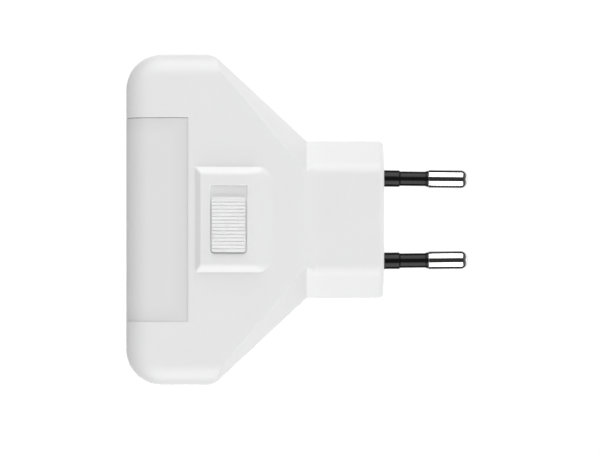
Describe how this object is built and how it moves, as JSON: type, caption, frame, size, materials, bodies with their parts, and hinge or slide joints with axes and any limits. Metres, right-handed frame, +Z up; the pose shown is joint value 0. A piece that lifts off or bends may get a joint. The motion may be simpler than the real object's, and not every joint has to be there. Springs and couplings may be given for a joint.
{
  "type": "plug-in night light",
  "caption": "Flat white plug-in LED night light with a wraparound opal diffuser, a slide switch on one side face, and a recessed-socket neck with a round two-pole plug.",
  "frame": {"origin": "centre of the plug's engagement face, midway between the two pins", "axes": "+X along the pins into the socket, +Z up in the line of the two pins, -Y the side face with the switch"},
  "size_m": [0.0766, 0.021, 0.074],
  "materials": {
    "housing": "fine satin moulded ABS, white",
    "diffuser": "frosted opal polycarbonate",
    "pin_metal": "bright nickel plating",
    "pin_sleeve": "glossy black moulded sleeve",
    "carrier": "matte dark grey PBT",
    "knob": "satin moulded ABS, white",
    "black_plastic": "matte black moulding compound",
    "contact_metal": "tinned phosphor bronze",
    "switch_steel": "zinc plated steel",
    "laminate": "brown phenolic paper laminate",
    "board": "phenolic paper circuit board",
    "capacitor_box": "yellow boxed film capacitor",
    "capacitor_can": "dark shrink sleeve",
    "fuse_coating": "green flameproof coating",
    "resistor_coating": "tan lacquer",
    "led_board": "white solder mask",
    "led_body": "white reflector cup with phosphor window",
    "reflector": "white moulded tray",
    "wire_brown": "brown PVC insulation",
    "wire_blue": "blue PVC insulation",
    "wire_red": "red PVC insulation",
    "screw_steel": "zinc plated steel"
  },
  "bodies": {
    "housing": {"switch_side_shell": "housing", "plain_side_shell": "housing", "diffuser": "diffuser", "upper_pin": "pin_metal", "lower_pin": "pin_metal", "upper_pin_sleeve": "pin_sleeve", "lower_pin_sleeve": "pin_sleeve", "pin_carrier": "carrier", "switch_frame": "switch_steel", "switch_base": "laminate", "switch_terminals": "contact_metal", "driver_board": "board", "film_capacitor": "capacitor_box", "electrolytic_capacitor": "capacitor_can", "bridge_rectifier": "black_plastic", "fusible_resistor": "fuse_coating", "resistors": "resistor_coating", "led_board": "led_board", "leds": "led_body", "reflector": "reflector", "upper_pin_wire": "wire_brown", "lower_pin_wire": "wire_blue", "switch_wire": "wire_brown", "led_wires": "wire_red", "housing_screws": "screw_steel"},
    "slider": {"switch_knob": "knob", "switch_lever": "black_plastic", "switch_contact": "contact_metal"}
  },
  "joints": [
    {"name": "switch_slide", "type": "slide", "parent": "housing", "child": "slider", "axis": [0, 0, 1], "range_m": [0, 0.0025]}
  ]
}
